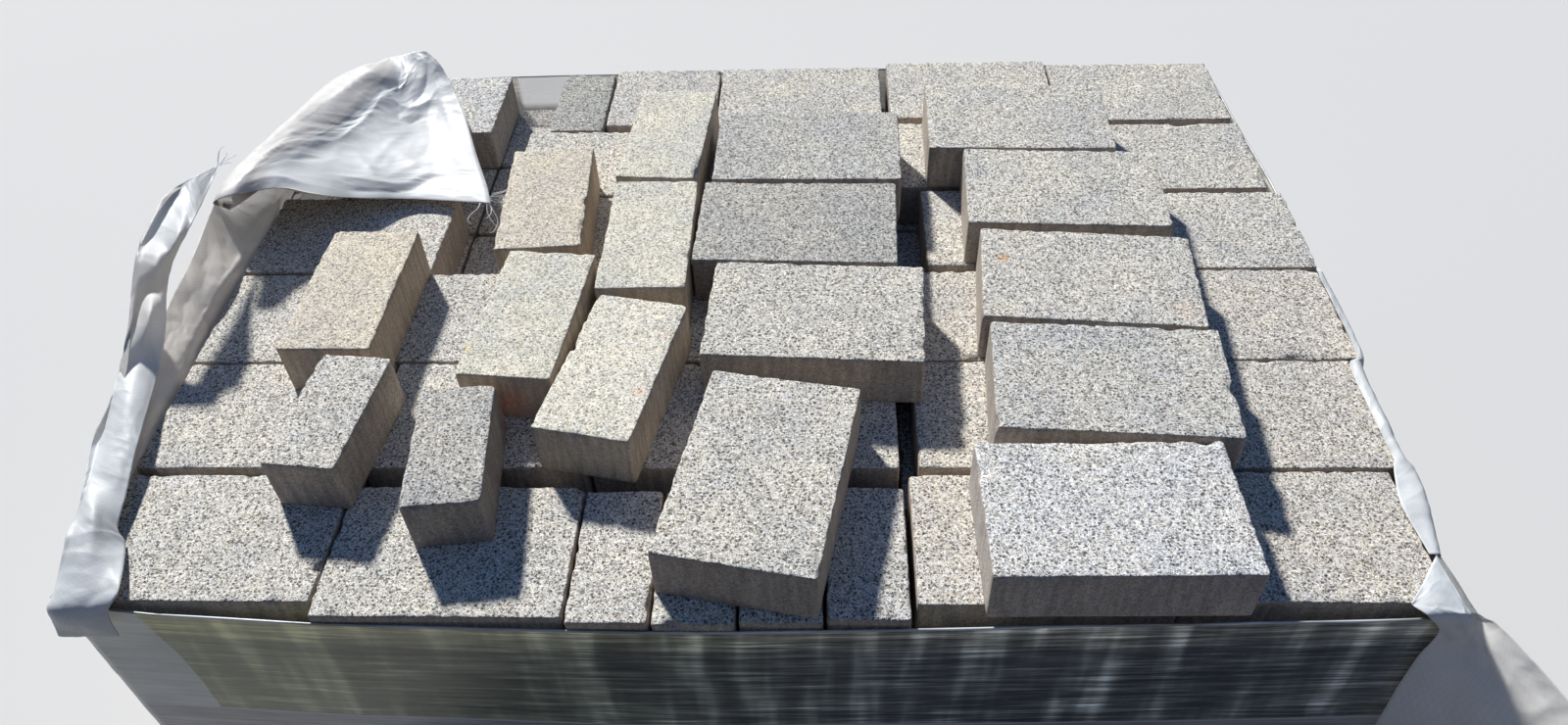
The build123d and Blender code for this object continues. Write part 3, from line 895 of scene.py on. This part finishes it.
def woven_finish(name, cool, yellowed_and_painted_light):
    """White plastic tapes a few millimetres wide, woven over and under, a little glossy.
    Light comes through the thin sheet, and grime lies on it in broad patches."""
    n = Nodes(name)
    run = n.place("UV")
    tapes = {"Color1": (1, 1, 1, 1), "Color2": (0.86, 0.86, 0.86, 1)}
    weave = n.add("TexChecker", {"Vector": run, "Scale": TAPES_PER_METRE, **tapes}).outputs["Color"]
    grime = n.ramp(n.noise(run, 16.0, 5.0), (0.35, 0.84), (0.6, 1.0))
    # The second colour, where the mark is high, is yellowed plastic and also painted light: painted
    # shade on shaded folds and a painted warm glow where the sun comes through.
    tone = n.times(n.blend(n.kept("yellowing_and_painted_light"), cool, yellowed_and_painted_light), grime)
    crinkles = []
    for size, strength in ((30.0, 1.0), (80.0, 0.22)):
        shaken = n.blend(1.2 / size, run, n.noise(run, size / 3, 1.0, "Color"), "ADD")
        turned = {"Vector": shaken, "Rotation": (0, 0, size), "Scale": (1.0, 0.5, 1.0)}
        cells = {"Vector": n.add("Mapping", turned).outputs[0], "Scale": size}
        distance = n.add("TexVoronoi", cells).outputs["Distance"]
        crinkles.append(n.maths("MULTIPLY", distance, strength))
    woven = n.bump(weave, 0.25, 0.0002)
    return n.shade(
        Base_Color=n.times(tone, weave, 0.35), Roughness=0.5, Specular_IOR_Level=0.35,
        Normal=n.bump(n.maths("ADD", *crinkles), 0.45, 0.005, Normal=woven),
        Subsurface_Weight=n.scaled(n.kept("thin"), 0.15, 0.9),
        Subsurface_Radius=(1.0, 1.0, 1.0), Subsurface_Scale=0.01,
    )


cover = woven_finish("woven_cover", (0.83, 0.87, 0.89), (0.72, 0.69, 0.655))
cover_inside = woven_finish("woven_cover_inside", (0.82, 0.78, 0.73), (0.80, 0.74, 0.67))


def loose_threads(name, paths):
    """Frayed ends of tape: smooth lines through a few places (mm, height from the full
    layer), each with a flat four-sided section that grows thinner to its end."""
    shells = []
    for path in paths:
        line = smooth_run(np.array(path) / 1000 + [0, 0, FULL_TOP], 6 * len(path))
        run = np.gradient(line, axis=0)
        side = np.cross(run, [0.3, 0.2, 1.0])
        side /= np.linalg.norm(side, axis=1, keepdims=True)
        rise = np.cross(side, run)
        rise /= np.linalg.norm(rise, axis=1, keepdims=True)
        width = np.linspace(*THREAD_WIDTHS, len(line))[:, None]
        corners = (-side, rise / 2, side, -rise / 2)
        shells.append(swept_shell(np.stack([line + width * corner for corner in corners], 1)))
    mesh = join_shells(name, shells, [(1, 1, 1)] * len(shells))
    return place_piece(name, mesh, cover, "cover_sheet")


flap_net = (
    ((-606, 455, -4), (-581, 439, 31), (-569, 446, 40), (-559, 451, 40), (-546, 447, 44),
     (-535, 446, 47), (-523, 443, 52), (-514, 443, 53), (-502, 438, 56)),
    ((-630, 425, -4), (-592, 409, 47), (-566, 395, 56), (-547, 389, 51), (-535, 387, 43),
     (-524, 393, 38), (-513, 410, 40), (-497, 417, 46), (-479, 415, 51)),
    ((-635, 400, -4), (-622, 359, 50), (-588, 355, 56), (-565, 351, 48), (-550, 346, 39),
     (-538, 351, 36), (-517, 355, 26), (-491, 378, 28), (-458, 384, 36)),
    ((-637, 285, -4), (-634, 256, 62), (-604, 263, 61), (-582, 267, 51), (-567, 278, 40),
     (-550, 292, 34), (-515, 285, 23), (-475, 312, 14), (-424, 315, 24)),
    ((-640, 166, 24), (-642, 144, 78), (-617, 164, 78), (-602, 188, 69), (-587, 206, 56),
     (-565, 214, 41), (-514, 204, 28), (-457, 213, 21), (-386, 218, 22)),
    ((-641, 92, 46), (-646, 68, 84), (-625, 81, 91), (-612, 102, 86), (-597, 121, 77),
     (-573, 140, 59), (-521, 145, 37), (-455, 163, 18), (-360, 155, 20)),
    ((-640, 52, 60), (-644, 35, 84), (-623, 43, 88), (-607, 62, 80), (-583, 78, 73),
     (-553, 87, 58), (-515, 113, 32), (-449, 137, 13), (-347, 117, 20)),
    ((-636, 60, 62), (-646, 46, 78), (-633, 60, 80), (-614, 78, 76), (-592, 100, 68),
     (-563, 112, 52), (-526, 141, 24), (-452, 150, 8), (-353, 140, 14)),
)
flap_creases = (
    (3.2, 7, ((-587, 206, 56), (-572, 228, 41), (-562, 256, 38), (-551, 300, 34), (-544, 355, 39))),
    (-5.0, 9, ((-534, 405, 42), (-528, 370, 35), (-508, 345, 23))),
    (-6.0, 9, ((-497, 421, 48), (-496, 385, 31), (-505, 353, 24))),
    (4.0, 6, ((-544, 358, 39), (-515, 339, 24), (-488, 356, 21), (-473, 388, 35))),
    (-4.0, 8, ((-527, 324, 28), (-505, 309, 21), (-485, 329, 16))),
    (3.5, 7, ((-548, 142, 48), (-510, 150, 32), (-470, 160, 22), (-438, 190, 22))),
    (-4.0, 8, ((-530, 118, 44), (-499, 136, 26), (-465, 150, 18), (-432, 180, 21))),
    (2.5, 5, ((-548, 211, 32), (-515, 181, 32), (-501, 152, 26))),
    (2.5, 5, ((-515, 181, 32), (-511, 237, 29), (-503, 270, 23))),
    (3.0, 6, ((-622, 60, 88), (-596, 92, 78), (-558, 108, 60))),
    (-3.0, 7, ((-612, 112, 83), (-594, 144, 70), (-570, 176, 52))),
    (2.5, 8, ((-632, 69, 79), (-614, 150, 83), (-607, 273, 62), (-571, 374, 56))),
    (3.0, 6, ((-473, 372, 28), (-445, 310, 18), (-393, 211, 23))),
    (3.0, 6, ((-435, 162, 26), (-393, 151, 22), (-359, 118, 20))),
    (2.5, 5, ((-502, 238, 28), (-465, 207, 28), (-424, 210, 25))),
    (-3.0, 6, ((-473, 318, 14), (-458, 251, 21), (-465, 207, 28))),
)
surface, uv = crumpled_sheet(
    flap_net, 0.003, folds=((3.0, 80), (2.2, 32), (0.9, 14)), seed=300, creases=flap_creases,
)
down, across = np.meshgrid(*(np.linspace(0, 1, count) for count in surface.shape[:2]), indexing="ij")
# Painted yellowish and darker over the left slope, along the left edge and on the hem: yellowed inner
# side and hem, and painted shade on the slope's shaded fold.
yellowing_and_painted_light = np.clip((0.5 - across) / 0.08, 0, 1) * 0.8 + 0.2 * (across < 0.02)
yellowing_and_painted_light = np.maximum(np.maximum(yellowing_and_painted_light, 0.15), down > 0.85)
thin = 0.05 + 0.9 * np.clip((down - 0.43) / 0.1, 0, 1) * np.clip((0.16 - across) / 0.04, 0, 1)
flap_threads = loose_threads("cover_flap_threads", (
    ((-352, 119, 20), (-346, 112, 17), (-344, 100, 16), (-349, 92, 14)),
    ((-350, 124, 20), (-342, 122, 18), (-337, 130, 12), (-341, 140, 6)),
    ((-350, 130, 20), (-340, 136, 17), (-335, 148, 9), (-338, 156, 2)),
    ((-352, 122, 20), (-343, 108, 15), (-336, 96, 8), (-338, 82, 4), (-344, 78, 3)),
    ((-351, 127, 20), (-341, 130, 14), (-333, 118, 8), (-331, 104, 3)),
    ((-350, 134, 19), (-342, 146, 14), (-334, 158, 10), (-328, 152, 6)),
    ((-360, 117, 20), (-362, 108, 18), (-370, 101, 14), (-372, 92, 12), (-366, 86, 10)),
    ((-352, 120, 20), (-350, 106, 13), (-340, 92, 6), (-334, 90, 2)),
    ((-349, 138, 19), (-338, 148, 16), (-333, 160, 12), (-337, 168, 9)),
))
place_sheet(
    "cover_flap_turned_in", surface, uv, yellowing_and_painted_light, thin,
    ["cover_flap"],
)

inner_net = (
    ((-631, 240, -26), (-632, 240, -2), (-622, 212, 24), (-625, 199, 38), (-631, 164, 56),
     (-636, 115, 72)),
    ((-631, 150, -26), (-632, 150, -2), (-637, 145, 6), (-643, 136, 17), (-648, 103, 46),
     (-652, 71, 68)),
    ((-631, 60, -26), (-632, 58, -2), (-637, 56, 6), (-644, 51, 12), (-661, 65, 30), (-676, 82, 48)),
    ((-631, -20, -26), (-633, -20, -2), (-632, -31, 14), (-637, -34, 20), (-652, -25, 31),
     (-668, -12, 40)),
    ((-631, -98, -26), (-633, -98, -2), (-636, -104, 9), (-643, -106, 14), (-656, -96, 22),
     (-669, -83, 31)),
    ((-631, -170, -26), (-633, -170, -2), (-637, -174, 6), (-643, -175, 11), (-656, -159, 17),
     (-667, -144, 23)),
    ((-630, -225, -26), (-632, -225, -3), (-635, -230, 6), (-641, -230, 9), (-650, -224, 14),
     (-661, -215, 16)),
    ((-628, -262, -26), (-629, -262, -4), (-632, -265, 2), (-639, -265, 4), (-649, -261, 4),
     (-660, -253, -2)),
    ((-627, -320, -26), (-626, -320, -6), (-630, -321, -4), (-636, -320, -5), (-643, -317, -7),
     (-649, -314, -7)),
)
surface, uv = crumpled_sheet(inner_net, 0.003, folds=((4.0, 70), (2.6, 26), (1.0, 12)), seed=330)
# Painted darker and more yellow towards its low end.
yellowing_and_painted_light = np.linspace(0.3, 1.0, len(surface))[:, None]
place_sheet("cover_inner_strip", surface, uv, yellowing_and_painted_light, 0.3)

strip_net = (
    ((-631, -478, -26), (-627, -481, -26), (-614, -481, -26), (-600, -481, -26), (-587, -481, -26),
     (-572, -480, -26)),
    ((-631, -462, -10), (-633, -468, -1), (-622, -477, 6), (-603, -478, 6), (-587, -477, 4),
     (-572, -474, 3)),
    ((-631, -440, -24), (-630, -452, 2), (-624, -455, 14), (-604, -455, 16), (-583, -456, 13),
     (-565, -457, 14)),
    ((-631, -405, -26), (-634, -408, 20), (-627, -408, 24), (-610, -409, 24), (-600, -406, 16),
     (-588, -402, 4)),
    ((-631, -375, -26), (-652, -364, 2), (-636, -373, 22), (-619, -380, 27), (-610, -381, 20),
     (-600, -385, 11)),
    ((-632, -340, -24), (-645, -351, 18), (-645, -341, 22), (-635, -340, 22), (-620, -343, 20),
     (-607, -347, 15)),
    ((-640, -300, -10), (-667, -284, 20), (-665, -276, 17), (-645, -287, 25), (-628, -294, 25),
     (-616, -302, 21)),
    ((-656, -254, 8), (-669, -236, 26), (-669, -229, 27), (-650, -239, 31), (-636, -246, 28),
     (-627, -251, 22)),
    ((-668, -196, 32), (-680, -180, 32), (-680, -172, 33), (-665, -172, 30), (-654, -174, 26),
     (-643, -184, 20)),
    ((-675, -146, 54), (-679, -139, 56), (-668, -141, 65), (-672, -118, 44), (-655, -133, 45),
     (-640, -148, 46)),
    ((-676, -104, 86), (-673, -103, 95), (-663, -103, 98), (-645, -108, 97), (-650, -95, 80),
     (-650, -93, 70)),
    ((-676, -62, 104), (-680, -53, 105), (-677, -45, 100), (-655, -53, 102), (-635, -68, 109),
     (-635, -61, 99)),
    ((-676, 10, 108), (-680, 20, 109), (-677, 25, 104), (-667, 20, 102), (-649, -4, 104),
     (-635, -26, 103)),
    ((-672, 70, 92), (-672, 72, 95), (-672, 68, 97), (-667, 58, 96), (-660, 47, 93), (-652, 32, 90)),
    ((-668, 108, 84), (-668, 110, 84), (-668, 111, 84), (-667, 112, 84), (-667, 113, 84),
     (-666, 114, 84)),
)
surface, uv = crumpled_sheet(strip_net, 0.003, folds=((3.0, 50), (2.4, 24), (0.9, 11)), seed=350)
thin = 0.15 + 0.75 * np.exp(-((np.linspace(0, 1, len(surface))[:, None] - 0.68) / 0.1) ** 2)
tip_threads = loose_threads("cover_tip_threads", (
    ((-668, 108, 84), (-664, 118, 86), (-658, 122, 92), (-655, 116, 98)),
    ((-668, 109, 84), (-662, 122, 84), (-652, 128, 86), (-648, 120, 92)),
    ((-667, 108, 84), (-670, 120, 88), (-668, 128, 95), (-661, 130, 99)),
    ((-667, 110, 84), (-658, 116, 84), (-650, 112, 86)),
))
place_sheet(
    "cover_standing_strip", surface[:, ::-1], uv, 0.0, thin,
    ["cover_left_strip"],
)

skirt_net = (
    ((576, -455, 2), (578, -459, 1), (588, -467, -2), (603, -469, -22), (600, -469, -62),
     (597, -472, -105), (597, -474, -150), (600, -476, -233)),
    ((592, -436, 2), (595, -458, 3), (604, -467, -1), (617, -471, -25), (622, -477, -62),
     (626, -484, -105), (632, -490, -150), (638, -498, -233)),
    ((606, -417, 3), (612, -458, 2), (617, -467, -2), (631, -473, -25), (643, -483, -62),
     (656, -494, -105), (668, -503, -150), (680, -512, -233)),
    ((614, -407, 3), (622, -457, 1), (626, -466, -4), (640, -471, -23), (666, -484, -62),
     (690, -501, -105), (712, -518, -150), (722, -526, -233)),
    ((616, -404, 3), (626, -456, 0), (632, -464, -5), (648, -468, -21), (678, -479, -58),
     (710, -495, -98), (742, -511, -138), (756, -526, -233)),
    ((620, -400, 1), (630, -454, -4), (638, -461, -8), (656, -464, -19), (694, -474, -56),
     (733, -490, -94), (768, -506, -132), (782, -522, -233)),
)
skirt_creases = (
    (7.0, 12, ((642, -470, -24), (652, -478, -50), (668, -490, -85))),
    (6.0, 12, ((640, -471, -24), (614, -474, -60), (606, -478, -110))),
    (5.0, 14, ((625, -478, -50), (640, -490, -110), (652, -500, -170))),
    (-4.0, 10, ((680, -478, -50), (712, -495, -92), (735, -508, -130))),
)
surface, uv = crumpled_sheet(
    skirt_net, 0.0036, folds=((5.0, 110), (3.2, 46), (1.1, 18)), seed=370, creases=skirt_creases,
)
# The outer band, which the sun reaches from behind, is painted half yellowish: a painted warm glow of
# light through the sheet.
outer = np.clip((np.linspace(0, 1, len(surface))[:, None] - 0.58) / 0.04, 0, 1)
place_sheet(
    "cover_hanging_skirt", surface[:, ::-1], uv, 0.5 * outer, outer,
    ["cover_right_skirt"],
)

edge_net = (
    ((610, -404, 3), (619, -405, 3), (622, -403, -10), (623, -400, -60), (624, -398, -120),
     (625, -396, -180), (626, -395, -233)),
    ((608, -381, 3), (623, -381, 4), (628, -380, -14), (628, -380, -60), (628, -380, -120),
     (629, -378, -180), (630, -376, -233)),
    ((606, -345, 2), (628, -346, 5), (634, -345, -14), (632, -345, -60), (632, -344, -120),
     (633, -342, -180), (634, -340, -233)),
    ((614, -306, 2), (634, -302, 2), (638, -300, -12), (636, -300, -60), (635, -298, -120),
     (637, -296, -180), (638, -294, -228)),
    ((619, -288, 2), (628, -286, 4), (635, -284, -12), (637, -284, -60), (637, -282, -118),
     (638, -280, -172), (640, -278, -220)),
    ((619, -240, 2), (628, -240, 5), (635, -240, -10), (638, -238, -50), (640, -236, -100),
     (641, -234, -150), (642, -232, -196)),
    ((620, -162, 2), (630, -161, 3), (637, -160, -10), (640, -160, -42), (642, -158, -80),
     (643, -156, -118), (644, -155, -154)),
    ((633, -142, 2), (640, -142, 1), (643, -142, -10), (644, -142, -38), (645, -140, -70),
     (646, -138, -104), (646, -138, -136)),
    ((634, -71, 2), (641, -71, 1), (644, -71, -9), (645, -70, -28), (646, -68, -50), (647, -66, -72),
     (647, -66, -94)),
    ((635, 0, 1), (641, 0, -1), (644, 0, -9), (646, 0, -20), (647, 1, -34), (647, 2, -46),
     (648, 2, -58)),
)
surface, uv = crumpled_sheet(edge_net, 0.004, folds=((2.5, 80), (2.2, 30), (0.8, 13)), seed=390)
place_sheet(
    "cover_right_edge", surface[:, ::-1], uv, 0.1, 0.1,
)

# Floor and light: a pale floor, the sun high behind the left shoulder of the load, a faint
# blue sky light, and an even pale surround. The camera stands where the photographer stood.
FLOOR_REACH, FLOOR_LEVEL = 9, -0.001
LAMPS = (
    # name, strength, width in degrees, colour, way
    ("key", 4.75, 4.5, (1.0, 0.985, 0.955), (0.41, -0.68, -0.607)),
    ("overhead", 0.25, 100, (0.0, 0.3, 1.0), (0, 0, -1)),
)
FILL, BACKDROP = (0.042, 0.055, 0.086), (0.80, 0.80, 0.79)


def seen_rays(n):
    """One for the rays that show a surface to the eye, straight, in gloss or through film,
    and nought for those that only light the object."""
    rays = n.add("LightPath").outputs
    gloss = n.maths("MAXIMUM", rays["Is Glossy Ray"], rays["Is Transmission Ray"])
    return n.maths("MAXIMUM", rays["Is Camera Ray"], gloss)


floor_mesh = bpy.data.meshes.new("floor")
floor_corners = [
    (FLOOR_REACH * x, FLOOR_REACH * y, FLOOR_LEVEL) for x, y in ((-1, -1), (1, -1), (1, 1), (-1, 1))
]
floor_mesh.from_pydata(floor_corners, [], [(0, 1, 2, 3)])
floor = bpy.data.objects.new("floor", floor_mesh)
scene.collection.objects.link(floor)
n = Nodes("pale_floor")
paving = n.blend(seen_rays(n), (0.24, 0.225, 0.205), (0.74, 0.73, 0.71))
floor_mesh.materials.append(n.shade(Base_Color=paving, Roughness=0.9))

for name, energy, spread, colour, way in LAMPS:
    lamp = bpy.data.lights.new(name, "SUN")
    lamp.energy, lamp.angle, lamp.color = energy, math.radians(spread), colour
    hung = bpy.data.objects.new(name, lamp)
    hung.rotation_mode = "QUATERNION"
    hung.rotation_quaternion = Vector(way).to_track_quat("-Z", "Y")
    scene.collection.objects.link(hung)
scene.world = bpy.data.worlds.new("surround")
n = Nodes("surround", scene.world)
n.join(n.tree.nodes["Background"], {"Color": n.blend(seen_rays(n), FILL, BACKDROP)})
scene.view_settings.view_transform = "Standard"

CAMERA_PLACE = (0.0693, -1.0234, 1.4423)
RIGHT, UP = (0.99910, 0.02846, -0.03149), (0.00236, 0.70360, 0.71059)
BEHIND = (0.04238, -0.71003, 0.70290)
FOCAL_PIXELS, PHOTO_WIDTH, PHOTO_HEIGHT = 1146.8, 1600, 740
AXIS_PIXEL = (792.6, 385.0)
camera_data = bpy.data.cameras.new("camera")
camera_data.sensor_width = 36.0
camera_data.lens = FOCAL_PIXELS / PHOTO_WIDTH * camera_data.sensor_width
camera_data.shift_x = (PHOTO_WIDTH / 2 - AXIS_PIXEL[0]) / PHOTO_WIDTH
camera_data.shift_y = (AXIS_PIXEL[1] - PHOTO_HEIGHT / 2) / PHOTO_WIDTH
camera = bpy.data.objects.new("camera", camera_data)
camera.rotation_mode = "QUATERNION"
camera.rotation_quaternion = Matrix((RIGHT, UP, BEHIND)).transposed().to_quaternion()
camera.location = CAMERA_PLACE
scene.collection.objects.link(camera)
scene.camera = camera
